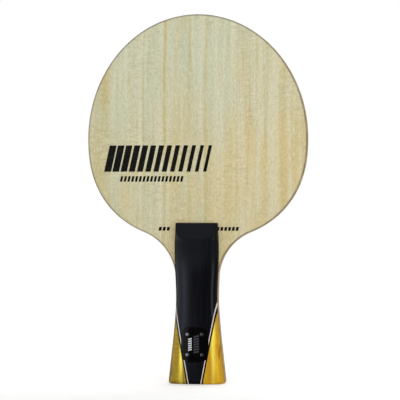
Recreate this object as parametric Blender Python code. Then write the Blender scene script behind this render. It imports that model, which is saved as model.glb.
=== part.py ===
"""A bare table tennis blade: seven glued plies in a keyhole outline, and two laminated, flared handle scales.

It stands upright on the end of its handle. +Z runs from the handle's end to the top of the head, the front
face looks along -Y, and the origin is the middle of the handle's end.
"""

from math import atan2, cos, pi, radians, sin, sqrt

import bmesh
import bpy
from mathutils import Matrix, Vector

MM = 0.001

# Head outline: half an ellipse above the widest line, and a squarer curve below it
HEAD_HALF_WIDTH = 75.6 * MM
HEAD_CENTRE_Z = 166.6 * MM
HEAD_RISE = 84.5 * MM
HEAD_DROP = 69.8 * MM
HEAD_UPPER_POWER = 2.0
HEAD_LOWER_POWER = 2.3
NECK_RADIUS = 35.0 * MM

# Blade: a core and three plies on each side of it, from the outside in
BLADE_THICKNESS = 6.0 * MM
FACE_THICKNESS = 0.5 * MM
CARBON_THICKNESS = 0.2 * MM
INNER_THICKNESS = 0.65 * MM
GLUE_LINE = 0.05 * MM

# Handle: a straight flare that eases into the waist, and a swell above it
WAIST_Z = 57.6 * MM
WAIST_HALF_WIDTH = 14.25 * MM
WAIST_HALF_THICKNESS = 11.3 * MM
WAIST_EASE = 12.0 * MM
WIDTH_SLOPE = 0.114
THICKNESS_SLOPE = 0.026
SWELL = 1.05 * MM
SWELL_Z = 89.6 * MM
HANDLE_TOP_Z = 109.1 * MM
SCALE_SETBACK = 0.05 * MM
SECTION_POWER = 3.5
END_ROUND = 2.0 * MM

# The sloped end of each scale, where the fingers reach the blade
LIP_HEIGHT = 1.2 * MM
SLOPE_LENGTH = 11.5 * MM

# Lamination of a scale: planes leaning outwards from the handle's end, with a pale and a black strip between
V_HALF_WIDTH = 3.87 * MM
V_SLOPE = 0.185
PALE_THICKNESS = 0.6 * MM
BLACK_THICKNESS = 0.95 * MM

# Badge: a flat back in a flat-bottomed pocket, and a front that follows the handle
BADGE_Z = 26.8 * MM
BADGE_HALF_WIDTH = 9.3 * MM
BADGE_HALF_HEIGHT = 11.9 * MM
BADGE_CORNER = 6.0 * MM
BADGE_PROUD = 0.25 * MM
POCKET_CLEARANCE = 0.1 * MM
POCKET_DEPTH_Y = 10.2 * MM
CUTTER_REACH_Y = 16.0 * MM
BLANK_MARGIN = 2.0 * MM

# Pins: a head that fills the badge's hole and a shank driven into the handle
PIN_OFFSET_X = 5.0 * MM
PIN_OFFSET_Z = 6.9 * MM
PIN_HEAD_RADIUS = 1.2 * MM
PIN_SHANK_RADIUS = 0.6 * MM
PIN_SHANK_LENGTH = 5.0 * MM
PIN_PROUD = 0.2 * MM
PIN_CLEARANCE = 0.1 * MM
DOME_SHOULDER_RADIUS = 0.6 * PIN_HEAD_RADIUS
DOME_SHOULDER_RISE = 0.75 * PIN_PROUD

# How finely the curves are divided
HEAD_STEPS = 20
NECK_STEPS = 6
HANDLE_STEPS = 12
END_STEPS = 3
SECTION_STEPS = 18
CORNER_STEPS = 6
PIN_SIDES = 16
SHARP_ANGLE = radians(34)

# The neck's arc leaves the head between these angles. Halving the range this often finds where.
NECK_ANGLE_RANGE = (0.6, 1.4)
NECK_HALVINGS = 40
TANGENT_STEP = 0.0001

# Distances below which a cut and a merge take two points for one
CUT_TOLERANCE = 0.00001 * MM
MERGE_DISTANCE = 0.001 * MM

FRONT = -1
BACK = 1

# Finishes: colour, roughness, metallic
FACE_WOOD = ((0.58, 0.53, 0.36), 0.5, 0.0)
CARBON = ((0.02, 0.02, 0.022), 0.4, 0.0)
INNER_WOOD = ((0.50, 0.38, 0.20), 0.6, 0.0)
CORE_WOOD = ((0.60, 0.46, 0.26), 0.6, 0.0)
BLACK_WOOD = ((0.008, 0.008, 0.011), 0.35, 0.0)
PALE_WOOD = ((0.64, 0.58, 0.56), 0.45, 0.0)
YELLOW_WOOD = ((0.52, 0.29, 0.03), 0.3, 0.0)
BADGE_LACQUER = ((0.003, 0.003, 0.004), 0.12, 0.0)
PIN_METAL = ((0.45, 0.45, 0.46), 0.3, 1.0)


def clear_scene():
    for obj in list(bpy.data.objects):
        bpy.data.objects.remove(obj, do_unlink=True)


def make_material(name, finish):
    colour, roughness, metallic = finish
    material = bpy.data.materials.new(name)
    material.use_nodes = True
    shader = material.node_tree.nodes["Principled BSDF"]
    shader.inputs["Base Color"].default_value = (*colour, 1.0)
    shader.inputs["Roughness"].default_value = roughness
    shader.inputs["Metallic"].default_value = metallic
    return material


def make_object(name, bm, finish=None):
    """Turns a bmesh into an object. A shape with no finish is a cutter and isn't part of the model."""
    bmesh.ops.recalc_face_normals(bm, faces=bm.faces[:])
    mesh = bpy.data.meshes.new(name)
    bm.to_mesh(mesh)
    bm.free()
    obj = bpy.data.objects.new(name, mesh)
    bpy.context.scene.collection.objects.link(obj)
    if finish is None:
        obj.hide_render = True
        obj.display_type = "WIRE"
        return obj
    mesh.materials.append(make_material(name, finish))
    mesh.shade_smooth()
    mesh.set_sharp_from_angle(angle=SHARP_ANGLE)
    return obj


def add_boolean(obj, cutter, operation):
    modifier = obj.modifiers.new(cutter.name, "BOOLEAN")
    modifier.object = cutter
    modifier.operation = operation
    modifier.solver = "EXACT"


# The handle's outside


def steps_between(first, last, count):
    return [first + (last - first) * step / count for step in range(count + 1)]


def end_inset(z):
    """How far the rounding at the handle's end draws its sides in at height z."""
    drop = max(END_ROUND - z, 0.0)
    return END_ROUND - sqrt(END_ROUND**2 - drop**2)


def flare(z):
    """How far down the flare height z counts: nothing above the waist, and the full drop well below it."""
    below = max(WAIST_Z - z, 0.0)
    return sqrt(below**2 + WAIST_EASE**2) - WAIST_EASE


def handle_half_width(z):
    above_share = max(z - WAIST_Z, 0.0) / (SWELL_Z - WAIST_Z)
    swell = SWELL * sin(pi / 2 * above_share) ** 2
    return WAIST_HALF_WIDTH + WIDTH_SLOPE * flare(z) + swell - end_inset(z)


def handle_half_thickness(z):
    return WAIST_HALF_THICKNESS + THICKNESS_SLOPE * flare(z) - end_inset(z)


def handle_levels(top):
    """Heights from the handle's end to top, close together around the rounded end."""
    around_end = [END_ROUND * (1 - cos(pi / 2 * step / END_STEPS)) for step in range(END_STEPS)]
    return around_end + steps_between(END_ROUND, top, HANDLE_STEPS)


# Blade


def head_point(angle, rise, power):
    """A point (half width, height) of the head, from its widest line at 0 to the middle line at pi / 2."""
    half_width = HEAD_HALF_WIDTH * cos(angle) ** (2 / power)
    return Vector((half_width, HEAD_CENTRE_Z + rise * sin(angle) ** (2 / power)))


def head_below(angle):
    return head_point(angle, -HEAD_DROP, HEAD_LOWER_POWER)


def neck_arc(angle):
    """Centre of the neck's arc that touches the head at angle, and the direction to it from the head."""
    along = head_below(angle + TANGENT_STEP) - head_below(angle - TANGENT_STEP)
    outward = Vector((-along.y, along.x)).normalized()
    return head_below(angle) + NECK_RADIUS * outward, outward


def neck_angle():
    """The angle on the head from which the neck's arc also touches the side of the handle."""
    low, high = NECK_ANGLE_RANGE
    for _ in range(NECK_HALVINGS):
        middle = (low + high) / 2
        centre = neck_arc(middle)[0]
        if centre.x - NECK_RADIUS > handle_half_width(centre.y):
            low = middle
        else:
            high = middle
    return low


def blade_outline():
    """(half width, height) up one side of the blade, from the handle's end to the top of the head."""
    head_end = neck_angle()
    centre, outward = neck_arc(head_end)
    turn = atan2(-outward.y, outward.x)
    outline = [(handle_half_width(z), z) for z in handle_levels(centre.y)]
    for step in range(1, NECK_STEPS):
        angle = turn * step / NECK_STEPS
        outline.append((centre.x - NECK_RADIUS * cos(angle), centre.y + NECK_RADIUS * sin(angle)))
    for step in range(HEAD_STEPS):
        outline.append(tuple(head_below(head_end * (1 - step / HEAD_STEPS))))
    for step in range(HEAD_STEPS):
        outline.append(tuple(head_point(pi / 2 * step / HEAD_STEPS, HEAD_RISE, HEAD_UPPER_POWER)))
    outline.append((0.0, HEAD_CENTRE_Z + HEAD_RISE))
    return outline


def make_ply(name, y_front, thickness, outline, finish):
    """One ply: bands between neighbouring heights of the outline, closed by a point at the top."""
    bm = bmesh.new()
    below = None
    for half_width, z in outline[:-1]:
        row = [bm.verts.new((side * half_width, y_front, z)) for side in (-1, 1)]
        if below:
            bm.faces.new((below[0], below[1], row[1], row[0]))
        below = row
    apex = bm.verts.new((0, y_front, outline[-1][1]))
    bm.faces.new((below[0], below[1], apex))
    made = bmesh.ops.extrude_face_region(bm, geom=bm.faces[:])["geom"]
    moved = [item for item in made if isinstance(item, bmesh.types.BMVert)]
    bmesh.ops.translate(bm, verts=moved, vec=(0, thickness, 0))
    return make_object(name, bm, finish)


def make_blade():
    outer_plies = 2 * (FACE_THICKNESS + CARBON_THICKNESS + INNER_THICKNESS)
    core_thickness = BLADE_THICKNESS - outer_plies - 6 * GLUE_LINE
    plies = [
        ("front_face_veneer", FACE_THICKNESS, FACE_WOOD),
        ("front_carbon_layer", CARBON_THICKNESS, CARBON),
        ("front_inner_veneer", INNER_THICKNESS, INNER_WOOD),
        ("core_ply", core_thickness, CORE_WOOD),
        ("back_inner_veneer", INNER_THICKNESS, INNER_WOOD),
        ("back_carbon_layer", CARBON_THICKNESS, CARBON),
        ("back_face_veneer", FACE_THICKNESS, FACE_WOOD),
    ]
    outline = blade_outline()
    y_front = -BLADE_THICKNESS / 2
    for name, thickness, finish in plies:
        make_ply(name, y_front, thickness, outline, finish)
        y_front += thickness + GLUE_LINE


# Handle scales


def section_points(z, y_inner, proud, side):
    """The handle's outside at height z, from one edge to the other, no closer to the blade than y_inner."""
    half_width = handle_half_width(z) - SCALE_SETBACK + proud
    half_thickness = handle_half_thickness(z) + proud
    first = (y_inner / half_thickness) ** (SECTION_POWER / 2)
    first_angle = atan2(first, sqrt(1 - first**2))
    points = []
    for angle in steps_between(first_angle, pi - first_angle, SECTION_STEPS):
        along = cos(angle)
        x = half_width * abs(along) ** (2 / SECTION_POWER) * (1 if along > 0 else -1)
        points.append((x, side * half_thickness * sin(angle) ** (2 / SECTION_POWER), z))
    return points


def loft_handle(levels, y_inner, proud, side):
    """A solid between the plane at y_inner and the handle's outside, through every height in levels."""
    bm = bmesh.new()
    rows = [[bm.verts.new(point) for point in section_points(z, y_inner, proud, side)] for z in levels]
    for below, above in zip(rows, rows[1:]):
        for step in range(SECTION_STEPS):
            bm.faces.new((below[step], below[step + 1], above[step + 1], above[step]))
        bm.faces.new((below[-1], below[0], above[0], above[-1]))
    bm.faces.new(rows[0])
    bm.faces.new(rows[-1])
    return bm


def cut_away(bm, point, normal):
    """Removes what lies beyond a plane, on the side that its normal points to, and closes the cut."""
    everything = bm.verts[:] + bm.edges[:] + bm.faces[:]
    cut = bmesh.ops.bisect_plane(
        bm, geom=everything, dist=CUT_TOLERANCE, plane_co=point, plane_no=normal, clear_outer=True
    )
    rim = [item for item in cut["geom_cut"] if isinstance(item, bmesh.types.BMEdge)]
    bmesh.ops.holes_fill(bm, edges=rim)


def scale_blank(side):
    """A whole scale before it is cut along the V: lofted, with its upper end sloped down to a lip."""
    blade_face = BLADE_THICKNESS / 2
    bm = loft_handle(handle_levels(HANDLE_TOP_Z), blade_face + GLUE_LINE, 0.0, side)
    slope_rise = WAIST_HALF_THICKNESS - blade_face - LIP_HEIGHT
    lip = Vector((0, side * (blade_face + LIP_HEIGHT), HANDLE_TOP_Z))
    cut_away(bm, lip, Vector((0, side * SLOPE_LENGTH, slope_rise)))
    return bm


def v_plane(hand, offset):
    """A point on the leaning plane at a distance outside the V, and its normal, for hand -1 or 1."""
    normal = Vector((hand, 0, -V_SLOPE)).normalized()
    return Vector((hand * V_HALF_WIDTH, 0, 0)) + offset * normal, normal


def make_scale(side, side_name):
    """One scale as its glued pieces: the centre, and a pale strip, a black strip and a wedge each way."""
    centre = scale_blank(side)
    for hand in (-1, 1):
        cut_away(centre, *v_plane(hand, 0.0))
    pieces = {"grip_centre": make_object(f"{side_name}_grip_centre", centre, BLACK_WOOD)}
    for hand, hand_name in ((-1, "left"), (1, "right")):
        inner = GLUE_LINE
        for piece, thickness, finish in (
            ("pale_stripe", PALE_THICKNESS, PALE_WOOD),
            ("black_stripe", BLACK_THICKNESS, BLACK_WOOD),
            ("flare_wedge", None, YELLOW_WOOD),
        ):
            bm = scale_blank(side)
            point, normal = v_plane(hand, inner)
            cut_away(bm, point, -normal)
            if thickness:
                cut_away(bm, *v_plane(hand, inner + thickness))
                inner += thickness + GLUE_LINE
            name = f"{hand_name}_{piece}"
            pieces[name] = make_object(f"{side_name}_{name}", bm, finish)
    return pieces


# Badge and pins


def rounded_prism(half_width, half_height, corner, y_inner, y_outer):
    """A rounded rectangle around the badge's centre, drawn out along Y."""
    bm = bmesh.new()
    verts = []
    for quarter in range(4):
        sign_x = 1 if quarter in (0, 3) else -1
        sign_z = 1 if quarter < 2 else -1
        for step in range(CORNER_STEPS + 1):
            angle = pi / 2 * (quarter + step / CORNER_STEPS)
            x = sign_x * (half_width - corner) + corner * cos(angle)
            z = sign_z * (half_height - corner) + corner * sin(angle)
            verts.append(bm.verts.new((x, y_inner, BADGE_Z + z)))
    made = bmesh.ops.extrude_face_region(bm, geom=[bm.faces.new(verts)])["geom"]
    moved = [item for item in made if isinstance(item, bmesh.types.BMVert)]
    bmesh.ops.translate(bm, verts=moved, vec=(0, y_outer - y_inner, 0))
    return bm


def pin_places():
    return [(x, BADGE_Z + z) for z in (PIN_OFFSET_Z, -PIN_OFFSET_Z) for x in (-PIN_OFFSET_X, PIN_OFFSET_X)]


def front_surface_y(x, z, proud):
    """Where the handle's front lies at (x, z), moved out by proud."""
    x_share = abs(x) / (handle_half_width(z) - SCALE_SETBACK + proud)
    half_thickness = handle_half_thickness(z) + proud
    return -half_thickness * (1 - x_share**SECTION_POWER) ** (1 / SECTION_POWER)


def pin_hole_cutter(name, radius, y_inner):
    """Four drills along Y, one at each pin, from y_inner out past the front."""
    bm = bmesh.new()
    depth = y_inner + CUTTER_REACH_Y
    for x, z in pin_places():
        place = Matrix.Translation((x, y_inner - depth / 2, z)) @ Matrix.Rotation(pi / 2, 4, "X")
        bmesh.ops.create_cone(
            bm, cap_ends=True, segments=PIN_SIDES, radius1=radius, radius2=radius, depth=depth, matrix=place
        )
    return make_object(name, bm)


def make_pin(name, x, z):
    """A pin turned about its own axis: shank, head and a low dome just proud of the badge."""
    floor_y = -(POCKET_DEPTH_Y + GLUE_LINE)
    rim_y = front_surface_y(x, z, BADGE_PROUD)
    profile = [
        (0, floor_y + PIN_SHANK_LENGTH),
        (PIN_SHANK_RADIUS, floor_y + PIN_SHANK_LENGTH),
        (PIN_SHANK_RADIUS, floor_y),
        (PIN_HEAD_RADIUS, floor_y),
        (PIN_HEAD_RADIUS, rim_y),
        (DOME_SHOULDER_RADIUS, rim_y - DOME_SHOULDER_RISE),
        (0, rim_y - PIN_PROUD),
    ]
    bm = bmesh.new()
    verts = [bm.verts.new((x + radius, y, z)) for radius, y in profile]
    edges = [bm.edges.new(pair) for pair in zip(verts, verts[1:])]
    bmesh.ops.spin(
        bm, geom=verts + edges, cent=(x, 0, z), axis=(0, 1, 0), angle=2 * pi, steps=PIN_SIDES
    )
    bmesh.ops.remove_doubles(bm, verts=bm.verts[:], dist=MERGE_DISTANCE)
    make_object(name, bm, PIN_METAL)


def make_badge(front_pieces):
    """The badge in a pocket across the front scale's strips, and the four pins."""
    floor_y = -POCKET_DEPTH_Y
    pocket = make_object(
        "pocket_cutter",
        rounded_prism(
            BADGE_HALF_WIDTH + POCKET_CLEARANCE,
            BADGE_HALF_HEIGHT + POCKET_CLEARANCE,
            BADGE_CORNER + POCKET_CLEARANCE,
            floor_y,
            -CUTTER_REACH_Y,
        ),
    )
    for name, piece in front_pieces.items():
        if "wedge" not in name:
            add_boolean(piece, pocket, "DIFFERENCE")
    drills = pin_hole_cutter(
        "shank_hole_cutter", PIN_SHANK_RADIUS + PIN_CLEARANCE, floor_y + PIN_SHANK_LENGTH + PIN_CLEARANCE
    )
    add_boolean(front_pieces["grip_centre"], drills, "DIFFERENCE")

    reach_z = BADGE_HALF_HEIGHT + BLANK_MARGIN
    levels = steps_between(BADGE_Z - reach_z, BADGE_Z + reach_z, CORNER_STEPS)
    blank = loft_handle(levels, POCKET_DEPTH_Y + GLUE_LINE, BADGE_PROUD, FRONT)
    badge = make_object("badge", blank, BADGE_LACQUER)
    shape = make_object(
        "badge_outline_cutter",
        rounded_prism(BADGE_HALF_WIDTH, BADGE_HALF_HEIGHT, BADGE_CORNER, 0, -CUTTER_REACH_Y),
    )
    add_boolean(badge, shape, "INTERSECT")
    head_holes = pin_hole_cutter("badge_hole_cutter", PIN_HEAD_RADIUS + PIN_CLEARANCE, 0)
    add_boolean(badge, head_holes, "DIFFERENCE")
    for number, (x, z) in enumerate(pin_places(), start=1):
        make_pin(f"badge_pin_{number}", x, z)


def main():
    clear_scene()
    make_blade()
    front_pieces = make_scale(FRONT, "front")
    make_scale(BACK, "back")
    make_badge(front_pieces)


main()
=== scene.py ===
from math import atan2, cos, pi, radians, sin, sqrt

import bmesh
import bpy
from mathutils import Matrix, Vector


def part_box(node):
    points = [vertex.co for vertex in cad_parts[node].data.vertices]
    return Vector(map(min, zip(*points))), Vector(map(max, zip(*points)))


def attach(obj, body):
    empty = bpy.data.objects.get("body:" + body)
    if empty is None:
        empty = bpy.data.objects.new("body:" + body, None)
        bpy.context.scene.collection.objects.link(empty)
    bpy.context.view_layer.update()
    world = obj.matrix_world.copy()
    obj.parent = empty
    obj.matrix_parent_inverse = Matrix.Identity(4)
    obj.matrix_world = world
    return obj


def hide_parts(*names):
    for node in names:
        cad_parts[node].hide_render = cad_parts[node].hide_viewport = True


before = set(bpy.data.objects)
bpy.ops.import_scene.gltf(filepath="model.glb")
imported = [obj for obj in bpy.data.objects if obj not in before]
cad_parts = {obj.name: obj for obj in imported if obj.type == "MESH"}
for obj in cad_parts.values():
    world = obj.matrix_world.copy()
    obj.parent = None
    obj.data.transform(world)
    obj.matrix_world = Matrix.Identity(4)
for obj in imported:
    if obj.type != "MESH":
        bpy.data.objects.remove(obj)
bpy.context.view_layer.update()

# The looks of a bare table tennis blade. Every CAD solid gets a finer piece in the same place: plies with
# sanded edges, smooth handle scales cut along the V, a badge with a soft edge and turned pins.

MM = 0.001
BODY = "root"

# Shapes, as in the CAD. What can be read from the frame is read from it.
BLADE_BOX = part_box("core_ply")
HEAD_HALF_WIDTH = BLADE_BOX[1].x
HEAD_TOP_Z = BLADE_BOX[1].z
HEAD_CENTRE_Z = 166.6 * MM
HEAD_RISE = HEAD_TOP_Z - HEAD_CENTRE_Z
HEAD_DROP = 69.8 * MM
HEAD_UPPER_POWER = 2.0
HEAD_LOWER_POWER = 2.3
NECK_RADIUS = 35.0 * MM

WAIST_Z = 57.6 * MM
WAIST_HALF_WIDTH = 14.25 * MM
WAIST_HALF_THICKNESS = 11.3 * MM
WAIST_EASE = 12.0 * MM
WIDTH_SLOPE = 0.114
THICKNESS_SLOPE = 0.026
SWELL = 1.05 * MM
SWELL_Z = 89.6 * MM
HANDLE_TOP_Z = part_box("front_grip_centre")[1].z
SCALE_SETBACK = 0.05 * MM
SCALE_FLOOR_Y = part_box("back_grip_centre")[0].y
BLADE_FACE_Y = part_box("back_face_veneer")[1].y
SECTION_POWER = 3.5
END_ROUND = 2.0 * MM
LIP_HEIGHT = 1.2 * MM
SLOPE_LENGTH = 11.5 * MM
SLOPE_START_Z = HANDLE_TOP_Z - SLOPE_LENGTH

V_HALF_WIDTH = 3.87 * MM
V_SLOPE = 0.185
PALE_THICKNESS = 0.6 * MM
BLACK_THICKNESS = 0.95 * MM
GLUE_LINE = 0.05 * MM

BADGE_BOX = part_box("badge")
BADGE_Z = (BADGE_BOX[0].z + BADGE_BOX[1].z) / 2
BADGE_HALF_WIDTH = BADGE_BOX[1].x
BADGE_HALF_HEIGHT = (BADGE_BOX[1].z - BADGE_BOX[0].z) / 2
BADGE_BACK_Y = BADGE_BOX[1].y
BADGE_CORNER = 6.0 * MM
BADGE_PROUD = 0.25 * MM
POCKET_CLEARANCE = 0.1 * MM
PIN_NUMBERS = range(1, 5)
PIN_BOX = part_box("badge_pin_1")
PIN_HEAD_RADIUS = (PIN_BOX[1].x - PIN_BOX[0].x) / 2
PIN_SHANK_RADIUS = 0.6 * MM
PIN_CLEARANCE = 0.1 * MM
PIN_PROUD = 0.2 * MM
CUTTER_REACH_Y = 2 * WAIST_HALF_THICKNESS

# How softly edges are sanded in the finished pieces
ARRIS = 0.22 * MM
RIM_WIDTH = 1.3 * MM
CREASE = 0.5 * MM
BADGE_EDGE = 0.3 * MM

# How finely the curves are divided
HEAD_STEPS = 90
NECK_STEPS = 30
HANDLE_STEPS = 60
END_STEPS = 8
SLOPE_STEPS = 40
SECTION_STEPS = 88
ARRIS_STEPS = 4
CORNER_STEPS = 14
BADGE_RINGS = 14
PIN_SIDES = 48
DOME_STEPS = 8
SHARP_ANGLE = radians(32)
CUT_TOLERANCE = 1e-8
MERGE_DISTANCE = 0.001 * MM

# The neck's arc is found by halving the range of angles where it may touch the head
NECK_ANGLE_RANGE = (0.6, 1.4)
NECK_HALVINGS = 40
TANGENT_STEP = 1e-4


# Building pieces


def finish_piece(bm, node, material):
    """Makes the finished piece that stands for a CAD node."""
    bmesh.ops.recalc_face_normals(bm, faces=bm.faces[:])
    name = "finished_" + node
    mesh = bpy.data.meshes.new(name)
    bm.to_mesh(mesh)
    bm.free()
    mesh.shade_smooth()
    mesh.set_sharp_from_angle(angle=SHARP_ANGLE)
    mesh.materials.append(material)
    piece = bpy.data.objects.new(name, mesh)
    bpy.context.scene.collection.objects.link(piece)
    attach(piece, BODY)
    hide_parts(node)
    return piece


def cut_with(piece, cutter_bm):
    """Takes a throwaway cutter's shape out of a piece, and leaves no modifier on it."""
    bmesh.ops.recalc_face_normals(cutter_bm, faces=cutter_bm.faces[:])
    mesh = bpy.data.meshes.new("cutter")
    cutter_bm.to_mesh(mesh)
    cutter_bm.free()
    cutter = bpy.data.objects.new("cutter", mesh)
    bpy.context.scene.collection.objects.link(cutter)
    modifier = piece.modifiers.new("cut", "BOOLEAN")
    modifier.object = cutter
    modifier.operation = "DIFFERENCE"
    modifier.solver = "EXACT"
    evaluated = piece.evaluated_get(bpy.context.evaluated_depsgraph_get())
    cut_mesh = bpy.data.meshes.new_from_object(evaluated)
    piece.modifiers.clear()
    old_mesh = piece.data
    piece.data = cut_mesh
    cut_mesh.name = old_mesh.name + "_cut"
    bpy.data.meshes.remove(old_mesh)
    bpy.data.objects.remove(cutter)
    bpy.data.meshes.remove(mesh)
    cut_mesh.shade_smooth()
    cut_mesh.set_sharp_from_angle(angle=SHARP_ANGLE)


# The handle's outside, as in the CAD


def end_inset(z):
    """How far the rounding of the handle's end draws its outside in at height z."""
    drop = max(END_ROUND - z, 0.0)
    return END_ROUND - sqrt(max(END_ROUND**2 - drop**2, 0.0))


def flare(z):
    """The length of flare between the waist and height z, eased in at the waist."""
    below = max(WAIST_Z - z, 0.0)
    return sqrt(below**2 + WAIST_EASE**2) - WAIST_EASE


def handle_half_width(z):
    above_share = max(z - WAIST_Z, 0.0) / (SWELL_Z - WAIST_Z)
    swell = SWELL * sin(pi / 2 * above_share) ** 2
    return WAIST_HALF_WIDTH + WIDTH_SLOPE * flare(z) + swell - end_inset(z)


def handle_half_thickness(z):
    return WAIST_HALF_THICKNESS + THICKNESS_SLOPE * flare(z) - end_inset(z)


def smooth_min(a, b, blend):
    """The smaller of two lengths, rounded over where they are within blend of each other."""
    share = max(blend - abs(a - b), 0.0) / blend
    return min(a, b) - share**2 * blend / 4


def steps_between(first, last, count):
    return [first + (last - first) * step / count for step in range(count + 1)]


# Blade


def head_point(angle, rise, power):
    """A point (half width, height) of the head. Angle 0 is its widest line."""
    half_width = HEAD_HALF_WIDTH * max(cos(angle), 0.0) ** (2 / power)
    return Vector((half_width, HEAD_CENTRE_Z + rise * sin(angle) ** (2 / power)))


def head_below(angle):
    return head_point(angle, -HEAD_DROP, HEAD_LOWER_POWER)


def neck_arc(angle):
    """Centre of the neck's arc that touches the head at angle, and the direction to it from the head."""
    along = head_below(angle + TANGENT_STEP) - head_below(angle - TANGENT_STEP)
    outward = Vector((-along.y, along.x)).normalized()
    return head_below(angle) + NECK_RADIUS * outward, outward


def neck_angle():
    """The angle at which the neck's arc touches the head and also just meets the handle's side."""
    low, high = NECK_ANGLE_RANGE
    for _ in range(NECK_HALVINGS):
        middle = (low + high) / 2
        centre = neck_arc(middle)[0]
        if centre.x - NECK_RADIUS > handle_half_width(centre.y):
            low = middle
        else:
            high = middle
    return low


def blade_outline():
    """Points (half width, height) up one side of the blade, from the handle's end to the top."""
    head_end = neck_angle()
    centre, outward = neck_arc(head_end)
    turn = atan2(-outward.y, outward.x)
    outline = []
    for step in range(END_STEPS):
        z = END_ROUND * (1 - cos(pi / 2 * step / END_STEPS))
        outline.append(Vector((handle_half_width(z), z)))
    for z in steps_between(END_ROUND, centre.y, HANDLE_STEPS):
        outline.append(Vector((handle_half_width(z), z)))
    for step in range(1, NECK_STEPS):
        angle = turn * step / NECK_STEPS
        outline.append(centre + NECK_RADIUS * Vector((-cos(angle), sin(angle))))
    for step in range(HEAD_STEPS):
        outline.append(head_below(head_end * (1 - step / HEAD_STEPS)))
    for step in range(HEAD_STEPS):
        outline.append(head_point(pi / 2 * step / HEAD_STEPS, HEAD_RISE, HEAD_UPPER_POWER))
    outline.append(Vector((0.0, HEAD_TOP_Z)))
    return outline


def outward_normals(outline):
    """The direction out of the blade at each point of its outline, which goes on to both middle lines."""
    count = len(outline)
    normals = []
    for i in range(count):
        before = outline[i - 1] if i > 0 else Vector((0, outline[0].y))
        after = outline[i + 1] if i < count - 1 else Vector((-outline[i - 1].x, outline[i - 1].y))
        along = (after - before).normalized()
        normals.append(Vector((along.y, -along.x)))
    return normals


def arris_stages(y_inner, y_outer):
    """Profile of a face veneer's edge, as (inset, y, rim): over a rounded arris and on to the rim's end."""
    direction = 1 if y_outer > y_inner else -1
    stages = [(0.0, y_inner, 1.0)]
    for step in range(ARRIS_STEPS + 1):
        angle = pi / 2 * step / ARRIS_STEPS
        stages.append((ARRIS * (1 - cos(angle)), y_outer - direction * ARRIS * (1 - sin(angle)), 1.0))
    stages.append((RIM_WIDTH, y_outer, 0.0))
    return stages


def make_ply(node, outline, normals, stages, material):
    """A ply: one loop of points for each stage of its edge, and banded faces across its two sides.

    The attribute rim is 1 on the edge and falls to 0 where the rim ends.
    """
    bm = bmesh.new()
    rim_layer = bm.verts.layers.float.new("rim")
    loops = []
    for inset, y, rim in stages:
        right = []
        for point, normal in zip(outline, normals):
            right.append(bm.verts.new((point.x - inset * normal.x, y, point.y - inset * normal.y)))
        left = [bm.verts.new((-v.co.x, y, v.co.z)) for v in right[:-1]]
        for vert in right + left:
            vert[rim_layer] = rim
        loops.append((right, left + [right[-1]]))
    for (right, left), (next_right, next_left) in zip(loops, loops[1:]):
        for side, next_side in ((right, next_right), (left, next_left)):
            for i in range(len(side) - 1):
                bm.faces.new((side[i], side[i + 1], next_side[i + 1], next_side[i]))
        bm.faces.new((right[0], left[0], next_left[0], next_right[0]))
    for right, left in (loops[0], loops[-1]):
        for i in range(len(right) - 2):
            bm.faces.new((left[i], right[i], right[i + 1], left[i + 1]))
        bm.faces.new((left[-2], right[-2], right[-1]))
    finish_piece(bm, node, material)


def make_blade(materials):
    outline = blade_outline()
    normals = outward_normals(outline)
    for node, slot, material in (
        ("front_face_veneer", "face_wood", materials["front_face_wood"]),
        ("front_carbon_layer", "carbon", materials["carbon"]),
        ("front_inner_veneer", "inner_wood", materials["inner_wood"]),
        ("core_ply", "core_wood", materials["core_wood"]),
        ("back_inner_veneer", "inner_wood", materials["inner_wood"]),
        ("back_carbon_layer", "carbon", materials["carbon"]),
        ("back_face_veneer", "face_wood", materials["back_face_wood"]),
    ):
        low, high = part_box(node)
        stages = [(0.0, low.y, 1.0), (0.0, high.y, 1.0)]
        if node == "front_face_veneer":
            stages = arris_stages(high.y, low.y)
        elif node == "back_face_veneer":
            stages = arris_stages(low.y, high.y)
        make_ply(node, outline, normals, stages, material)


# Handle scales


def slope_height(z):
    """How far from the middle the sloped upper end lets the scale reach at height z."""
    lip_y = BLADE_FACE_Y + LIP_HEIGHT
    rise = WAIST_HALF_THICKNESS - lip_y
    return lip_y + rise * (HANDLE_TOP_Z - z) / SLOPE_LENGTH


def surface_y(x, z, proud):
    """How far from the middle the handle's outside lies at (x, z), moved out by proud."""
    x_share = min(abs(x) / (handle_half_width(z) - SCALE_SETBACK + proud), 1.0)
    return (handle_half_thickness(z) + proud) * (1 - x_share**SECTION_POWER) ** (1 / SECTION_POWER)


def section_points(z, side):
    """The scale's outside at height z, from one edge of its flat inner side round to the other."""
    half_width = handle_half_width(z) - SCALE_SETBACK
    half_thickness = handle_half_thickness(z)
    limit = slope_height(z)
    first = (SCALE_FLOOR_Y / half_thickness) ** (SECTION_POWER / 2)
    first_angle = atan2(first, sqrt(1 - first**2))
    points = []
    for angle in steps_between(first_angle, pi - first_angle, SECTION_STEPS):
        along = cos(angle)
        x = half_width * abs(along) ** (2 / SECTION_POWER) * (1 if along > 0 else -1)
        y = half_thickness * sin(angle) ** (2 / SECTION_POWER)
        if y > SCALE_FLOOR_Y + CREASE:
            y = smooth_min(y, limit, CREASE)
        points.append((x, side * y, z))
    return points


def scale_levels():
    """Heights of the sections: close together round the end and on the slope."""
    around_end = [END_ROUND * (1 - cos(pi / 2 * step / END_STEPS)) for step in range(END_STEPS)]
    slope_start = SLOPE_START_Z - 2 * CREASE
    straight = steps_between(END_ROUND, slope_start, HANDLE_STEPS)
    slope = steps_between(slope_start, HANDLE_TOP_Z, SLOPE_STEPS)
    return around_end + straight + slope[1:]


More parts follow.
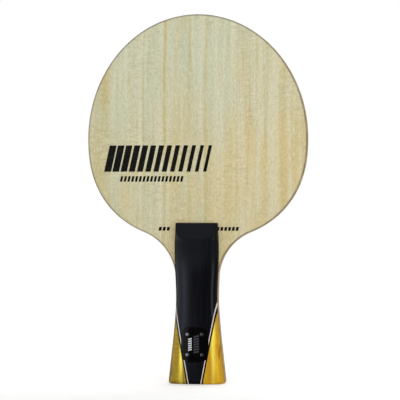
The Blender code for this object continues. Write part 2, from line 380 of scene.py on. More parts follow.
def scale_blank(side):
    """A whole scale: lofted through every level, flat against the blade, and sloped at its upper end."""
    bm = bmesh.new()
    rows = [[bm.verts.new(point) for point in section_points(z, side)] for z in scale_levels()]
    for below, above in zip(rows, rows[1:]):
        for step in range(SECTION_STEPS):
            bm.faces.new((below[step], below[step + 1], above[step + 1], above[step]))
        bm.faces.new((below[-1], below[0], above[0], above[-1]))
    bm.faces.new(rows[0])
    bm.faces.new(rows[-1])
    return bm


def cut_away(bm, point, normal):
    """Removes what lies beyond a plane, on the side that its normal points to, and closes the cut."""
    everything = bm.verts[:] + bm.edges[:] + bm.faces[:]
    cut = bmesh.ops.bisect_plane(
        bm, geom=everything, dist=CUT_TOLERANCE, plane_co=point, plane_no=normal, clear_outer=True
    )
    rim = [item for item in cut["geom_cut"] if isinstance(item, bmesh.types.BMEdge)]
    bmesh.ops.holes_fill(bm, edges=rim)


def v_plane(hand, offset):
    """A point and normal of the plane along one side of the V, moved outwards by offset."""
    normal = Vector((hand, 0, -V_SLOPE)).normalized()
    return Vector((hand * V_HALF_WIDTH, 0, 0)) + offset * normal, normal


def make_scale(side, side_name, materials):
    """The centre of one scale, and on each hand its pale strip, black strip and wedge.

    Returns all but the wedges, which aren't cut for the badge.
    """
    blank = scale_blank(side)
    centre = blank.copy()
    for hand in (-1, 1):
        cut_away(centre, *v_plane(hand, 0.0))
    pieces = [finish_piece(centre, f"{side_name}_grip_centre", materials["black_wood"])]
    for hand, hand_name in ((-1, "left"), (1, "right")):
        inner = GLUE_LINE
        for part, thickness, slot, material in (
            ("pale_stripe", PALE_THICKNESS, "pale_wood", materials["pale_wood"]),
            ("black_stripe", BLACK_THICKNESS, "black_wood", materials["black_wood"]),
            ("flare_wedge", None, "yellow_wood", materials[f"{hand_name}_yellow_wood"]),
        ):
            bm = blank.copy()
            point, normal = v_plane(hand, inner)
            cut_away(bm, point, -normal)
            if thickness:
                cut_away(bm, *v_plane(hand, inner + thickness))
                inner += thickness + GLUE_LINE
            piece = finish_piece(bm, f"{side_name}_{hand_name}_{part}", material)
            if thickness:
                pieces.append(piece)
    blank.free()
    return pieces


# Badge and pins


def rounded_rectangle(grow=0.0):
    """Points (x, z) around the badge, anticlockwise from its right-hand side, moved out by grow."""
    half_width = BADGE_HALF_WIDTH + grow
    half_height = BADGE_HALF_HEIGHT + grow
    corner = BADGE_CORNER + grow
    points = []
    for quarter, (sign_x, sign_z) in enumerate(((1, 1), (-1, 1), (-1, -1), (1, -1))):
        for step in range(CORNER_STEPS + 1):
            angle = pi / 2 * (quarter + step / CORNER_STEPS)
            x = sign_x * (half_width - corner) + corner * cos(angle)
            z = sign_z * (half_height - corner) + corner * sin(angle)
            points.append((x, z))
    return points


def pocket_bm():
    """The space to cut for the badge, from the pocket's floor out past the handle's front."""
    floor_y = BADGE_BACK_Y + GLUE_LINE
    bm = bmesh.new()
    inner = [bm.verts.new((x, floor_y, BADGE_Z + z)) for x, z in rounded_rectangle(POCKET_CLEARANCE)]
    outer = [bm.verts.new((v.co.x, -CUTTER_REACH_Y, v.co.z)) for v in inner]
    bm.faces.new(inner)
    bm.faces.new(outer)
    for i in range(len(inner)):
        after = (i + 1) % len(inner)
        bm.faces.new((inner[i], inner[after], outer[after], outer[i]))
    return bm


def drill_bm(radius, y_inner, y_outer):
    """A drill along Y at each pin."""
    bm = bmesh.new()
    for number in PIN_NUMBERS:
        low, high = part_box(f"badge_pin_{number}")
        place = Matrix.Translation(((low.x + high.x) / 2, (y_inner + y_outer) / 2, (low.z + high.z) / 2))
        bmesh.ops.create_cone(
            bm, cap_ends=True, segments=PIN_SIDES, radius1=radius, radius2=radius,
            depth=abs(y_outer - y_inner), matrix=place @ Matrix.Rotation(pi / 2, 4, "X")
        )
    return bm


def make_badge(material):
    """A plate with a flat back and a front that follows the handle, with a rounded rim."""
    bm = bmesh.new()
    rim = rounded_rectangle()
    back = [bm.verts.new((x, BADGE_BACK_Y, BADGE_Z + z)) for x, z in rim]
    bm.faces.new(back)
    rings = [back]
    edge_share = BADGE_EDGE / BADGE_HALF_WIDTH
    profile = []
    for step in range(ARRIS_STEPS + 1):
        angle = pi / 2 * step / ARRIS_STEPS
        profile.append((1 - edge_share * (1 - cos(angle)), BADGE_EDGE * (1 - sin(angle))))
    inner_share = profile[-1][0]
    for ring in range(1, BADGE_RINGS):
        profile.append((inner_share * (1 - ring / BADGE_RINGS), 0.0))
    for share, drop in profile:
        row = []
        for x, z in rim:
            y = surface_y(share * x, BADGE_Z + share * z, BADGE_PROUD) - drop
            row.append(bm.verts.new((share * x, -y, BADGE_Z + share * z)))
        rings.append(row)
    for outer, inner in zip(rings, rings[1:]):
        for i in range(len(rim)):
            after = (i + 1) % len(rim)
            bm.faces.new((outer[i], outer[after], inner[after], inner[i]))
    middle = bm.verts.new((0, -surface_y(0, BADGE_Z, BADGE_PROUD), BADGE_Z))
    for i in range(len(rim)):
        bm.faces.new((rings[-1][i], rings[-1][(i + 1) % len(rim)], middle))
    badge = finish_piece(bm, "badge", material)
    cut_with(badge, drill_bm(PIN_HEAD_RADIUS + PIN_CLEARANCE, 0.0, -CUTTER_REACH_Y))


def make_pins(bright_metal, shaded_metal):
    """Domed pins with a thinner shank. The two on the right get a darker copy of the nickel, which is
    painted shade.
    """
    for number in PIN_NUMBERS:
        node = f"badge_pin_{number}"
        low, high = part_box(node)
        x = (low.x + high.x) / 2
        z = (low.z + high.z) / 2
        tip_y = high.y
        rim_y = low.y + PIN_PROUD
        profile = [
            (0, tip_y),
            (PIN_SHANK_RADIUS, tip_y),
            (PIN_SHANK_RADIUS, BADGE_BACK_Y),
            (PIN_HEAD_RADIUS, BADGE_BACK_Y),
        ]
        for step in range(DOME_STEPS + 1):
            angle = pi / 2 * step / DOME_STEPS
            profile.append((PIN_HEAD_RADIUS * cos(angle), rim_y - PIN_PROUD * sin(angle)))
        bm = bmesh.new()
        verts = [bm.verts.new((x + radius, y, z)) for radius, y in profile]
        edges = [bm.edges.new(pair) for pair in zip(verts, verts[1:])]
        bmesh.ops.spin(
            bm, geom=verts + edges, cent=(x, 0, z), axis=(0, 1, 0), angle=2 * pi, steps=PIN_SIDES
        )
        bmesh.ops.remove_doubles(bm, verts=bm.verts[:], dist=MERGE_DISTANCE)
        finish_piece(bm, node, bright_metal if x < 0 else shaded_metal)


# Materials


def shade(red, green, blue):
    """A linear colour from the eight-bit values that a colour picker gives."""
    linear = [((value / 255 + 0.055) / 1.055) ** 2.4 for value in (red, green, blue)]
    return (*linear, 1.0)


class Finish:
    """A material, and short calls that add nodes to it.

    A value that a call takes is a number, a colour or another node's output. Place is object coordinates,
    which are the frame's own, because every piece's origin is the frame's.
    """

    def __init__(self, name):
        self.material = bpy.data.materials.new(name)
        self.material.use_nodes = True
        self.tree = self.material.node_tree
        self.shader = self.tree.nodes["Principled BSDF"]
        self.place = self.node("ShaderNodeTexCoord").outputs["Object"]

    def node(self, kind, **settings):
        made = self.tree.nodes.new(kind)
        for name, value in settings.items():
            setattr(made, name, value)
        return made

    def feed(self, socket, value):
        if isinstance(value, bpy.types.NodeSocket):
            self.tree.links.new(value, socket)
        else:
            socket.default_value = value

    def set(self, **values):
        """Feeds the shader's sockets, named in lower case with underscores."""
        sockets = {socket.name.lower().replace(" ", "_"): socket for socket in self.shader.inputs}
        for name, value in values.items():
            self.feed(sockets[name], value)

    def maths(self, operation, *values):
        made = self.node("ShaderNodeMath", operation=operation)
        for socket, value in zip(made.inputs, values):
            self.feed(socket, value)
        return made.outputs[0]

    def axes(self):
        made = self.node("ShaderNodeSeparateXYZ")
        self.feed(made.inputs[0], self.place)
        return made.outputs["X"], made.outputs["Y"], made.outputs["Z"]

    def noise(self, size, stretch=(1, 1, 1), start=(0, 0, 0), detail=3.0, rough=0.5, warp=0.0):
        """Noise whose features are about size across, drawn out along each axis by stretch."""
        mapping = self.node("ShaderNodeMapping")
        mapping.inputs["Location"].default_value = start
        mapping.inputs["Scale"].default_value = [1 / (size * share) for share in stretch]
        self.feed(mapping.inputs["Vector"], self.place)
        made = self.node("ShaderNodeTexNoise")
        self.feed(made.inputs["Vector"], mapping.outputs[0])
        made.inputs["Scale"].default_value = 1.0
        made.inputs["Detail"].default_value = detail
        made.inputs["Roughness"].default_value = rough
        made.inputs["Distortion"].default_value = warp
        return made.outputs["Fac"]

    def spread(self, value, low, high, to_low=0.0, to_high=1.0):
        """Takes low..high smoothly to to_low..to_high, and holds it there outside."""
        made = self.node("ShaderNodeMapRange", interpolation_type="SMOOTHSTEP")
        for socket, number in zip(made.inputs, (value, low, high, to_low, to_high)):
            self.feed(socket, number)
        return made.outputs[0]

    def mix(self, share, first, second):
        """The colour that lies share of the way from first to second."""
        made = self.node("ShaderNodeMix", data_type="RGBA")
        for number, value in ((0, share), (6, first), (7, second)):
            self.feed(made.inputs[number], value)
        return made.outputs[2]

    def between(self, share, first, second):
        """The number that lies share of the way from first to second."""
        made = self.node("ShaderNodeMix", data_type="FLOAT")
        for number, value in ((0, share), (2, first), (3, second)):
            self.feed(made.inputs[number], value)
        return made.outputs[0]

    def bump(self, height, depth):
        """Relief that is depth deep where height goes from 0 to 1."""
        made = self.node("ShaderNodeBump")
        made.inputs["Distance"].default_value = depth
        self.feed(made.inputs["Height"], height)
        return made.outputs[0]


# Print: rows of plain bars that lean by this much of their height
PRINT_SLANT = 0.22

# Rows on the front face, as (span, rise, count, widths)
PRINT_ROWS = (
    ((-64.5 * MM, 10.0 * MM), (144.0 * MM, 162.0 * MM), 13, (0.86, 0.4)),
    ((-53.5 * MM, -9.0 * MM), (137.2 * MM, 141.0 * MM), 17, (0.62, 0.62)),
    ((-26.6 * MM, -18.2 * MM), (103.8 * MM, 106.4 * MM), 3, (0.7, 0.7)),
    ((13.4 * MM, 29.2 * MM), (103.8 * MM, 106.4 * MM), 6, (0.7, 0.7)),
)


def bar_row(finish, across, along, span, rise, count, widths):
    """Ink, 0 or 1, where a row of slanted bars lies.

    Span is the row's extent across and rise its extent along. Widths are the shares of their spacing that
    the first and the last bar fill.
    """
    lean = finish.maths("MULTIPLY", finish.maths("SUBTRACT", along, rise[0]), PRINT_SLANT)
    share = finish.maths("SUBTRACT", across, lean)
    share = finish.maths("DIVIDE", finish.maths("SUBTRACT", share, span[0]), (span[1] - span[0]) / count)
    number = finish.maths("FLOOR", share)
    width = finish.maths("MULTIPLY_ADD", number, (widths[1] - widths[0]) / (count - 1), widths[0])
    ink = finish.maths("LESS_THAN", finish.maths("FRACT", share), width)
    for low, high, value in ((0.0, count, share), (rise[0], rise[1], along)):
        ink = finish.maths("MULTIPLY", ink, finish.maths("GREATER_THAN", value, low))
        ink = finish.maths("MULTIPLY", ink, finish.maths("LESS_THAN", value, high))
    return ink


# Face wood

# How warm its colour is at the middle of the handle's end, from 0 for cool to 1 for warm and held there, and
# how that changes for each metre across and up, a change that is partly its tone and partly painted light
WARMTH = 1.04
WARMTH_ACROSS = 3.6
WARMTH_UP = -3.4

# Darker streaks that run up the face, as (place across, width, strength)
STREAKS = (
    (-68.0 * MM, 8.0 * MM, 0.8),
    (-62.3 * MM, 3.2 * MM, 0.65),
    (-41.0 * MM, 0.9 * MM, 0.35),
    (-36.5 * MM, 0.8 * MM, 0.75),
    (-22.3 * MM, 1.3 * MM, 1.0),
    (-12.5 * MM, 3.6 * MM, 0.35),
    (-5.6 * MM, 1.3 * MM, 0.5),
    (5.6 * MM, 1.4 * MM, 0.65),
    (40.8 * MM, 1.4 * MM, 0.4),
    (47.8 * MM, 1.0 * MM, 0.3),
    (60.0 * MM, 2.0 * MM, 0.45),
    (65.8 * MM, 1.1 * MM, 0.5),
)
STREAK_SOFTNESS = 1.6


def streak_share(finish, x, wander, hand):
    """Where the streaks are, 0 to 1. They wander a little, and come and go along their length."""
    total = 0.0
    for number, (place, width, strength) in enumerate(STREAKS):
        off = finish.maths("ADD", x, finish.maths("SUBTRACT", wander, hand * place))
        near = finish.spread(finish.maths("ABSOLUTE", off), 0.0, STREAK_SOFTNESS * width, strength, 0.0)
        along = finish.noise(34 * MM, (0.5, 0.5, 1), (number, 0, 0.3 * number), detail=1.0)
        present = finish.spread(along, 0.3, 0.65, 0.35, 1.0)
        total = finish.maths("ADD", total, finish.maths("MULTIPLY", near, present))
    return total


def face_ground(finish, x, z, hand, start):
    """The veneer's colour from cool to warm: in broad patches, and cooler at the top and on one hand, partly
    as painted light.
    """
    cool, warm = shade(188, 191, 164), shade(201, 184, 135)
    drift = finish.maths("MULTIPLY_ADD", x, WARMTH_ACROSS * hand, WARMTH)
    drift = finish.maths("MULTIPLY_ADD", z, WARMTH_UP, drift)
    patches = finish.noise(42 * MM, (0.6, 1, 1.8), start, 2.0)
    drift = finish.maths("ADD", drift, finish.spread(patches, 0.2, 0.8, -0.35, 0.35))
    return finish.mix(finish.spread(drift, 0.0, 1.0), cool, warm)


def face_rim(finish, colour, start):
    """Darkens the veneer towards its edge, unevenly."""
    rim = finish.node("ShaderNodeAttribute", attribute_name="rim").outputs["Fac"]
    uneven = finish.spread(finish.noise(9 * MM, start=start), 0.25, 0.75, 0.7, 1.0)
    return finish.mix(finish.maths("MULTIPLY", rim, uneven), colour, shade(104, 94, 76))


def print_ink(finish, x, z):
    """Ink of all the print on the front, with slightly ragged edges."""
    ragged = finish.noise(0.35 * MM, detail=2.0)
    ragged = finish.spread(ragged, 0.3, 0.7, -0.05 * MM, 0.05 * MM)
    across = finish.maths("ADD", x, ragged)
    along = finish.maths("ADD", z, ragged)
    ink = 0.0
    for span, rise, count, widths in PRINT_ROWS:
        row = bar_row(finish, across, along, span, rise, count, widths)
        ink = finish.maths("MAXIMUM", ink, row)
    return ink


def face_wood(name, hand, printed):
    """Pale, thinly sealed veneer: fine straight grain, tan streaks, faint cross ripple and a darker rim.

    Hand is 1 on the front, and -1 on the back, where the streaks are mirrored.
    """
    finish = Finish(name)
    x, _, z = finish.axes()
    start = (3.1 * hand, 0, 1.7 * hand)
    colour = face_ground(finish, x, z, hand, start)

    # Pale bands, fine tan grain and a few darker streaks, all along the grain
    bands = finish.noise(5.0 * MM, (1, 1, 24), start, 2.0)
    colour = finish.mix(finish.spread(bands, 0.42, 0.72, 0.0, 0.5), colour, shade(211, 208, 183))
    grain = finish.noise(1.7 * MM, (1, 1, 26), start, 3.0, 0.6)
    colour = finish.mix(finish.spread(grain, 0.5, 0.75, 0.0, 0.35), colour, shade(177, 159, 108))
    wander = finish.noise(60 * MM, (1, 1, 1.4), start, 1.0)
    wander = finish.spread(wander, 0.2, 0.8, -1.2 * MM, 1.2 * MM)
    streaks = finish.maths("MULTIPLY", streak_share(finish, x, wander, hand), 0.8)
    colour = finish.mix(streaks, colour, shade(183, 167, 110))

    # Short fibres, light and dark, a little longer than they are wide
    fibres = finish.noise(0.8 * MM, (1, 1, 3), start, 2.0)
    colour = finish.mix(finish.spread(fibres, 0.5, 0.75, 0.0, 0.3), colour, shade(154, 146, 116))
    colour = finish.mix(finish.spread(fibres, 0.25, 0.5, 0.3, 0.0), colour, shade(226, 222, 198))

    # Ripple: bright and dark marks across the grain, stronger in some places
    ripple = finish.noise(1.3 * MM, (4, 1, 0.8), start, 2.0, warp=0.3)
    where = finish.spread(finish.noise(36 * MM, (0.7, 1, 1.6), (7, 0, hand), 1.0), 0.4, 0.65, 0.15, 1.0)
    flecks = finish.maths("MULTIPLY", finish.spread(ripple, 0.35, 0.65, -1.0, 1.0), where)
    colour = finish.mix(finish.spread(flecks, 0.0, 1.0, 0.0, 0.16), colour, shade(150, 136, 92))
    colour = finish.mix(finish.spread(flecks, -1.0, 0.0, 0.14, 0.0), colour, shade(222, 216, 190))

    # Pores: fine dark dashes along the grain
    pores = finish.noise(0.22 * MM, (1, 1, 14), start, 1.0)
    colour = finish.mix(finish.spread(pores, 0.66, 0.74, 0.0, 0.5), colour, shade(136, 114, 76))
    colour = face_rim(finish, colour, start)

    # Relief and gloss follow the same grain, and the print lies on them
    relief = finish.maths("MULTIPLY_ADD", grain, 0.6, finish.maths("MULTIPLY", fibres, 0.5))
    relief = finish.maths("SUBTRACT", relief, finish.spread(pores, 0.64, 0.76))
    relief = finish.maths("ADD", relief, finish.maths("MULTIPLY", ripple, 0.25))
    rough = finish.spread(grain, 0.3, 0.7, 0.46, 0.6)
    if printed:
        ink = print_ink(finish, x, z)
        thin = finish.maths("MULTIPLY", ink, finish.spread(pores, 0.6, 0.8, 1.0, 0.9))
        colour = finish.mix(thin, colour, shade(9, 9, 9))
        relief = finish.maths("MULTIPLY_ADD", ink, 0.4, relief)
        rough = finish.between(ink, rough, 0.35)
    finish.set(base_color=colour, roughness=rough, specular_ior_level=0.05)
    finish.set(normal=finish.bump(relief, 0.035 * MM))
    return finish.material


def ply_wood(name, light, dark, grain_along):
    """An inner ply, seen at the edge of the blade: end grain and long fibres, sanded and sealed."""
    finish = Finish(name)
    stretch = (1, 1, 24) if grain_along == "z" else (24, 1, 1)
    fibres = finish.noise(0.35 * MM, stretch, detail=3.0)
    rings = finish.noise(2.6 * MM, stretch, (4, 0, 2), 2.0)
    patches = finish.noise(24 * MM, start=(1, 5, 2), detail=1.0)
    colour = finish.mix(finish.spread(rings, 0.3, 0.7), light, dark)
    colour = finish.mix(finish.spread(fibres, 0.5, 0.8, 0.0, 0.6), colour, dark)
    colour = finish.mix(finish.spread(patches, 0.45, 0.7, 0.0, 0.3), colour, shade(120, 96, 66))
    finish.set(base_color=colour, roughness=finish.spread(fibres, 0.3, 0.7, 0.5, 0.68))
    finish.set(specular_ior_level=0.35, normal=finish.bump(fibres, 0.04 * MM))
    return finish.material


# Carbon: how far apart its tows are
TOW_PITCH = 1.6 * MM


def carbon():
    """Woven carbon in resin: tows in a two by two twill, each lighter at its crown, which is a painted
    highlight.
    """
    finish = Finish("carbon_weave")
    x, _, z = finish.axes()
    across = finish.maths("DIVIDE", x, TOW_PITCH)
    up = finish.maths("DIVIDE", z, TOW_PITCH)
    steps = finish.maths("ADD", finish.maths("FLOOR", across), finish.maths("FLOOR", up))
    over = finish.maths("LESS_THAN", finish.maths("FLOORED_MODULO", steps, 4.0), 2.0)
    crowns = []
    for value in (across, up):
        centre = finish.maths("ABSOLUTE", finish.maths("SUBTRACT", finish.maths("FRACT", value), 0.5))
        crowns.append(finish.spread(centre, 0.0, 0.5, 1.0, 0.0))
    crown = finish.between(over, *crowns)
    fibres = finish.noise(0.12 * MM, (1, 1, 12), detail=2.0)
    # The lighter crowns are a painted highlight on each tow
    colour = finish.mix(crown, shade(18, 18, 20), shade(58, 58, 62))
    colour = finish.mix(finish.spread(fibres, 0.4, 0.7, 0.0, 0.5), colour, shade(30, 30, 34))
    finish.set(base_color=colour, roughness=finish.spread(crown, 0.0, 1.0, 0.5, 0.3))
    finish.set(normal=finish.bump(crown, 0.05 * MM))
    return finish.material


# The black lacquer dulls up the grip between two heights, and the sloped end is a little glossier again
DULL_Z = (72 * MM, 94 * MM)
DULL_ROUGHNESS = 0.4
SLOPE_ROUGHNESS = -0.22


def black_wood():
    """Dyed black wood under satin lacquer, with the grain still faintly there."""
    finish = Finish("black_lacquered_wood")
    _, _, z = finish.axes()
    grain = finish.noise(1.1 * MM, (1, 1, 30), detail=3.0, rough=0.6)
    fibres = finish.noise(0.3 * MM, (1, 1, 18), (2, 1, 0), 2.0)
    cloud = finish.noise(16 * MM, (1, 1, 2), (0, 3, 1), 2.0)
    colour = finish.mix(finish.spread(grain, 0.4, 0.7), shade(8, 8, 11), shade(12, 12, 16))
    colour = finish.mix(finish.spread(fibres, 0.55, 0.8, 0.0, 0.5), colour, shade(19, 20, 25))
    rough = finish.spread(cloud, 0.3, 0.7, 0.15, 0.2)
    for added in (
        finish.spread(grain, 0.3, 0.7, 0.0, 0.05),
        finish.spread(z, *DULL_Z, 0.0, DULL_ROUGHNESS),
        finish.spread(z, SLOPE_START_Z - MM, SLOPE_START_Z + MM, 0.0, SLOPE_ROUGHNESS),
    ):
        rough = finish.maths("ADD", rough, added)
    relief = finish.maths("MULTIPLY_ADD", fibres, 0.4, grain)
    finish.set(base_color=colour, roughness=rough, specular_ior_level=0.12)
    finish.set(specular_tint=shade(225, 233, 255), normal=finish.bump(relief, 0.008 * MM))
    return finish.material


def pale_wood():
    """Whitish veneer of the thin strips, a little pink."""
    finish = Finish("pale_strip_wood")
    grain = finish.noise(0.5 * MM, (1, 1, 20), detail=3.0)
    stain = finish.noise(7 * MM, (1, 1, 2), (1, 2, 3), 2.0)
    colour = finish.mix(finish.spread(grain, 0.35, 0.75), shade(222, 211, 206), shade(190, 176, 168))
    colour = finish.mix(finish.spread(stain, 0.5, 0.75, 0.0, 0.4), colour, shade(176, 158, 148))
    finish.set(base_color=colour, roughness=finish.spread(grain, 0.3, 0.7, 0.34, 0.46))
    finish.set(specular_ior_level=0.3, normal=finish.bump(grain, 0.015 * MM))
    return finish.material


# The painted highlight up a wedge, a pale band in its colour: how far it reaches from its middle, and the
# height below which it weakens, down to this share at the handle's end
HIGHLIGHT_REACH = 2.3 * MM
HIGHLIGHT_FULL_Z = 20 * MM
HIGHLIGHT_END_SHARE = 0.4

# The short stain in a wedge: half its width, half its length where its fading starts and ends, and strength
STAIN_REACH_X = 1.2 * MM
STAIN_REACH_Z = (2 * MM, 6 * MM)
STAIN_SHARE = 0.8


def add_painted_highlight(finish, colour, x, z, highlight_x, highlight_share, start):
    """A painted highlight up the wedge: a pale band at the given place across, wandering a little."""
    wander = finish.noise(14 * MM, (1, 1, 2), start, 1.0)
    wander = finish.spread(wander, 0.3, 0.7, -0.5 * MM, 0.5 * MM)
    off = finish.maths("SUBTRACT", finish.maths("ADD", x, wander), highlight_x)
    across = finish.spread(finish.maths("ABSOLUTE", off), 0.0, HIGHLIGHT_REACH, highlight_share, 0.0)
    up = finish.spread(z, 0.0, HIGHLIGHT_FULL_Z, HIGHLIGHT_END_SHARE, 1.0)
    return finish.mix(finish.maths("MULTIPLY", across, up), colour, shade(246, 226, 92))


def add_stain(finish, colour, x, z, place, stain_colour):
    """One short stain along the grain, around place (x, z)."""
    off_x = finish.maths("ABSOLUTE", finish.maths("SUBTRACT", x, place[0]))
    off_z = finish.maths("ABSOLUTE", finish.maths("SUBTRACT", z, place[1]))
    across = finish.spread(off_x, 0.0, STAIN_REACH_X, STAIN_SHARE, 0.0)
    up = finish.spread(off_z, *STAIN_REACH_Z, 1.0, 0.0)
    return finish.mix(finish.maths("MULTIPLY", across, up), colour, stain_colour)


def yellow_wood(name, light, deep, streak, highlight_x, highlight_share, stain, start):
    """Dyed yellow wood under gloss lacquer: fine figure, darker streaks, a short stain, and a pale band that
    is a painted highlight.
    """
    finish = Finish(name)
    x, _, z = finish.axes()
    bands = finish.noise(3.4 * MM, (1, 1, 9), start, 2.0, warp=0.4)
    grain = finish.noise(0.8 * MM, (1, 1, 26), start, 3.0, 0.6)
    fibres = finish.noise(0.25 * MM, (1, 1, 16), start, 2.0)
    figure = finish.noise(2.2 * MM, (2.6, 1, 0.9), start, 2.0)
    marks = finish.noise(2.1 * MM, (1, 1, 7), (start[1], start[0], 4), 2.0)
    colour = finish.mix(finish.spread(bands, 0.35, 0.65), light, deep)
    colour = finish.mix(finish.spread(grain, 0.45, 0.75, 0.0, 0.55), colour, deep)
    colour = finish.mix(finish.spread(fibres, 0.5, 0.8, 0.0, 0.3), colour, streak)
    colour = finish.mix(finish.spread(figure, 0.5, 0.75, 0.0, 0.25), colour, shade(206, 176, 40))
    colour = finish.mix(finish.spread(marks, 0.6, 0.72, 0.0, 0.65), colour, streak)
    # Painted highlight: a pale band up the wedge where its lacquer shines
    colour = add_painted_highlight(finish, colour, x, z, highlight_x, highlight_share, start)
    colour = add_stain(finish, colour, x, z, stain, streak)
    relief = finish.maths("MULTIPLY_ADD", fibres, 0.5, grain)
    rough = finish.spread(grain, 0.3, 0.7, 0.24, 0.3)
    finish.set(base_color=colour, roughness=rough, metallic=0.06, specular_ior_level=0.25)
    finish.set(specular_tint=shade(255, 240, 110), normal=finish.bump(relief, 0.006 * MM))
    return finish.material


# Print on the badge: columns of bars, as (extent in x, extent in z, count, grey of the ink)
BADGE_COLUMNS = (
    ((-4.4 * MM, -2.0 * MM), (BADGE_Z - 4.2 * MM, BADGE_Z + 4.6 * MM), 6, shade(196, 198, 200)),
    ((-0.8 * MM, 3.0 * MM), (BADGE_Z - 5.9 * MM, BADGE_Z + 6.4 * MM), 7, shade(58, 59, 63)),
)
BADGE_BAR_WIDTHS = (0.62, 0.62)


def badge_lacquer():
    """Glossy black plate with two columns of plain bars, one pale and one dark grey."""
    finish = Finish("badge_gloss_black")
    x, _, z = finish.axes()
    swirl = finish.noise(0.9 * MM, detail=4.0)
    haze = finish.noise(6 * MM, (1, 1, 2), (2, 2, 2), 2.0)
    scuffs = finish.noise(0.16 * MM, (30, 1, 1), (5, 0, 1), 1.0)
    colour = finish.mix(finish.spread(haze, 0.3, 0.7), shade(2, 2, 3), shade(5, 5, 6))
    for extent_x, extent_z, count, ink_colour in BADGE_COLUMNS:
        ink = bar_row(finish, z, x, extent_z, extent_x, count, BADGE_BAR_WIDTHS)
        colour = finish.mix(ink, colour, ink_colour)
    rough = finish.spread(swirl, 0.3, 0.7, 0.07, 0.13)
    rough = finish.maths("ADD", rough, finish.spread(scuffs, 0.66, 0.78, 0.0, 0.12))
    finish.set(base_color=colour, roughness=rough, specular_ior_level=0.06)
    finish.set(normal=finish.bump(swirl, 0.003 * MM))
    return finish.material


def pin_metal(name, light, dark):
    """Nickel, lightly brushed and pitted."""
    finish = Finish(name)
    brush = finish.noise(0.05 * MM, (12, 1, 1), detail=2.0)
    pits = finish.noise(0.22 * MM, detail=3.0)
    colour = finish.mix(finish.spread(pits, 0.5, 0.75), light, dark)
    rough = finish.spread(pits, 0.3, 0.7, 0.3, 0.42)
    rough = finish.maths("ADD", rough, finish.spread(brush, 0.3, 0.7, 0.0, 0.12))
    finish.set(base_color=colour, metallic=1.0, roughness=rough, normal=finish.bump(pits, 0.02 * MM))
    return finish.material


# Set: floor, light and camera


# What a camera at the middle of the blade's height sees
VIEW_WIDTH = 272.7 * MM
VIEW_AZIMUTH = radians(9.6)
VIEW_MIDDLE_X = 1.65 * MM
VIEW_MIDDLE_Z = 124.7 * MM
LENS = 200.0
SENSOR = 36.0

FLOOR_RADIUS = 3.0
FLOOR_SIDES = 96
FLOOR_GAP = 0.1 * MM

# The floor turns from faintly glowing paper to the backdrop's white between these distances from its middle
FLOOR_FADE = (0.1, 0.8)
FLOOR_GLOW = 0.22

# Strength of the backdrop where the camera sees it, and as light from all round on the object
WORLD_SEEN = 1.0
WORLD_FILL = 0.17

# Soft lights: name, azimuth and elevation in degrees, distance and size in metres, radiance, and whether it
# shades and whether it shines. Azimuth 0 is in front of the object, and positive is to its right.
SOFTBOXES = (
    ("front_softbox", 5, 18, 1.0, (0.8, 0.8), 1.4, True, False),
    ("left_softbox", -55, 4, 0.9, (1.2, 0.6), 0.7, True, False),
    ("right_softbox", 55, 4, 0.9, (1.2, 0.6), 1.35, True, False),
    ("left_panel", -61, 0, 0.9, (1.95, 0.8), 2.4, False, True),
    ("left_strip", -29, 0, 0.8, (0.16, 0.4), 1.6, False, True),
    ("right_panel", 64, 0, 0.9, (0.44, 0.4), 3.9, False, True),
    ("top_softbox", 20, 68, 0.9, (0.9, 0.6), 1.45, True, True),
    ("back_left_softbox", -150, 42, 0.9, (0.9, 0.6), 2.2, True, True),
    ("back_right_softbox", 150, 42, 0.9, (0.9, 0.6), 2.2, True, True),
)


def make_floor():
    """A pale disc that lightens to the backdrop's white well away from the object."""
    bm = bmesh.new()
    bmesh.ops.create_circle(bm, cap_ends=True, segments=FLOOR_SIDES, radius=FLOOR_RADIUS)
    bmesh.ops.translate(bm, verts=bm.verts[:], vec=(0, 0, -FLOOR_GAP))
    mesh = bpy.data.meshes.new("floor")
    bm.to_mesh(mesh)
    bm.free()
    floor = bpy.data.objects.new("floor", mesh)
    bpy.context.scene.collection.objects.link(floor)
    finish = Finish("floor_white")
    distance = finish.node("ShaderNodeVectorMath", operation="LENGTH")
    finish.feed(distance.inputs[0], finish.place)
    far = finish.spread(distance.outputs["Value"], *FLOOR_FADE)
    tone = finish.noise(0.25, detail=2.0)
    paper = finish.mix(finish.spread(tone, 0.3, 0.7), shade(238, 238, 238), shade(243, 243, 243))
    finish.set(base_color=finish.mix(far, paper, shade(0, 0, 0)), roughness=0.9, specular_ior_level=0.0)
    glow = finish.spread(far, 0.0, 1.0, FLOOR_GLOW, WORLD_SEEN)
    finish.set(emission_color=(1, 1, 1, 1), emission_strength=glow)
    mesh.materials.append(finish.material)
    floor.visible_glossy = False


def make_backdrop_light():
    """Even white behind the object, and a gentler light from all round on it."""
    world = bpy.data.worlds.new("studio")
    bpy.context.scene.world = world
    world.use_nodes = True
    tree = world.node_tree
    background = tree.nodes["Background"]
    background.inputs["Color"].default_value = (1, 1, 1, 1)
    ray = tree.nodes.new("ShaderNodeLightPath")
    strength = tree.nodes.new("ShaderNodeMapRange")
    tree.links.new(ray.outputs["Is Camera Ray"], strength.inputs["Value"])
    strength.inputs["To Min"].default_value = WORLD_FILL
    strength.inputs["To Max"].default_value = WORLD_SEEN
    tree.links.new(strength.outputs[0], background.inputs["Strength"])


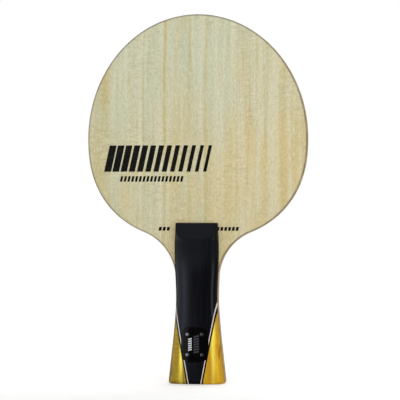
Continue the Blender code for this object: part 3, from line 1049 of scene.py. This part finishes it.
def make_softbox(name, azimuth, elevation, distance, size, radiance, shades, shines):
    """A soft light that faces the object's middle.

    One that shades lights surfaces evenly, and one that shines shows in their gloss.
    """
    width, height = size
    lamp = bpy.data.lights.new(name, "AREA")
    lamp.shape = "RECTANGLE"
    lamp.size = width
    lamp.size_y = height
    lamp.energy = radiance * pi * width * height
    light = bpy.data.objects.new(name, lamp)
    a, e = radians(azimuth), radians(elevation)
    away = Vector((sin(a) * cos(e), -cos(a) * cos(e), sin(e)))
    light.location = Vector((0, 0, HEAD_TOP_Z / 2)) + distance * away
    light.rotation_mode = "QUATERNION"
    light.rotation_quaternion = away.to_track_quat("Z", "Y")
    light.visible_camera = False
    light.visible_diffuse = shades
    light.visible_glossy = shines
    bpy.context.scene.collection.objects.link(light)


def make_camera():
    """A long lens that sees VIEW_WIDTH across at the object."""
    lens = bpy.data.cameras.new("camera")
    lens.lens = LENS
    lens.sensor_width = SENSOR
    camera = bpy.data.objects.new("camera", lens)
    bpy.context.scene.collection.objects.link(camera)
    across = Vector((cos(VIEW_AZIMUTH), sin(VIEW_AZIMUTH), 0))
    back = Vector((sin(VIEW_AZIMUTH), -cos(VIEW_AZIMUTH), 0))
    aim = across * VIEW_MIDDLE_X + Vector((0, 0, VIEW_MIDDLE_Z))
    camera.location = aim + back * (VIEW_WIDTH * LENS / SENSOR)
    camera.rotation_mode = "QUATERNION"
    camera.rotation_quaternion = back.to_track_quat("Z", "Y")
    bpy.context.scene.camera = camera


def make_set():
    make_floor()
    make_backdrop_light()
    for softbox in SOFTBOXES:
        make_softbox(*softbox)
    make_camera()
    bpy.context.scene.view_settings.view_transform = "Standard"


def make_materials():
    """The woods and the carbon, by the names that the pieces ask for."""
    return {
        "front_face_wood": face_wood("face_veneer_wood_printed", 1, True),
        "back_face_wood": face_wood("face_veneer_wood_plain", -1, False),
        "carbon": carbon(),
        "inner_wood": ply_wood("inner_veneer_wood", shade(196, 164, 116), shade(150, 116, 72), "x"),
        "core_wood": ply_wood("core_wood", shade(214, 186, 138), shade(178, 146, 98), "z"),
        "black_wood": black_wood(),
        "pale_wood": pale_wood(),
        # Each wedge's band is a painted highlight
        "left_yellow_wood": yellow_wood(
            "yellow_wood_olive", shade(144, 119, 34), shade(122, 96, 26), shade(104, 78, 26),
            highlight_x=-9.6 * MM, highlight_share=0.95, stain=(-16.4 * MM, 9.0 * MM), start=(1, 2, 3)
        ),
        "right_yellow_wood": yellow_wood(
            "yellow_wood_amber", shade(200, 158, 38), shade(186, 138, 31), shade(164, 98, 18),
            highlight_x=12.4 * MM, highlight_share=0.85, stain=(16.2 * MM, 21.8 * MM), start=(5, 3, 1)
        ),
    }


def main():
    materials = make_materials()
    make_blade(materials)
    front_pieces = make_scale(-1, "front", materials)
    make_scale(1, "back", materials)
    for piece in front_pieces:
        cut_with(piece, pocket_bm())
    front_centre = front_pieces[0]
    tip_y = PIN_BOX[1].y + PIN_CLEARANCE
    cut_with(front_centre, drill_bm(PIN_SHANK_RADIUS + PIN_CLEARANCE, tip_y, BADGE_BACK_Y))
    make_badge(badge_lacquer())
    # The right-hand pins' darker nickel is painted shade
    make_pins(
        pin_metal("pin_nickel", shade(122, 123, 132), shade(84, 84, 88)),
        pin_metal("pin_tarnished_nickel", shade(74, 74, 80), shade(48, 48, 52))
    )
    make_set()


main()
